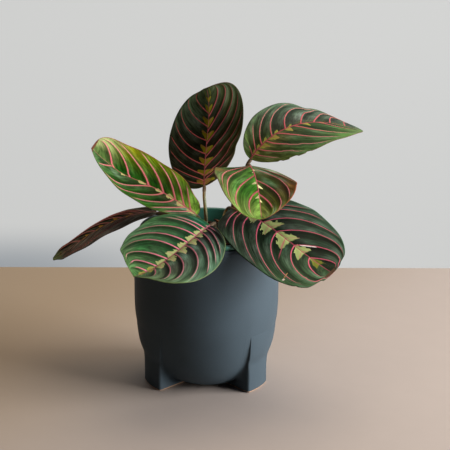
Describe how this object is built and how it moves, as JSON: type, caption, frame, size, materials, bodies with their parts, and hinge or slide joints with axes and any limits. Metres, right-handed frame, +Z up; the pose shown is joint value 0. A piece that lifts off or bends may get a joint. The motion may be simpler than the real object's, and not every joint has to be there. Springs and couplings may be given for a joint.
{
  "type": "potted prayer plant",
  "caption": "Prayer plant with red-veined green leaves on slim petioles, rooted in soil in a plastic growing pot that hangs by its lip in a matte grey footed ceramic cover pot.",
  "frame": {"origin": "on the standing plane, under the middle of the whole plant's spread; the pot's axis is 2 mm towards -X and 13 mm towards +Y of it", "axes": "+Z up along the pot's axis, -Y towards the front, +X to the right seen from the front"},
  "size_m": [0.3149, 0.223, 0.2853],
  "materials": {
    "glazed_stoneware": "matte slate-grey glaze on stoneware",
    "green_plastic": "dull dark-green moulded plastic",
    "potting_mix": "moist peat and bark crumbs",
    "stem": "fibrous tan and brown sheath",
    "leaf": "satin green blade with red veins and lime blotches, wine-red underneath"
  },
  "bodies": {
    "root": {"cover_pot": "glazed_stoneware", "nursery_pot": "green_plastic", "soil": "potting_mix", "shoot_stem": "stem", "leaf_top": "leaf", "leaf_left": "leaf", "leaf_far_left": "leaf", "leaf_lower_left": "leaf", "leaf_lower_right": "leaf", "leaf_front": "leaf", "leaf_upper_right": "leaf"}
  },
  "joints": []
}
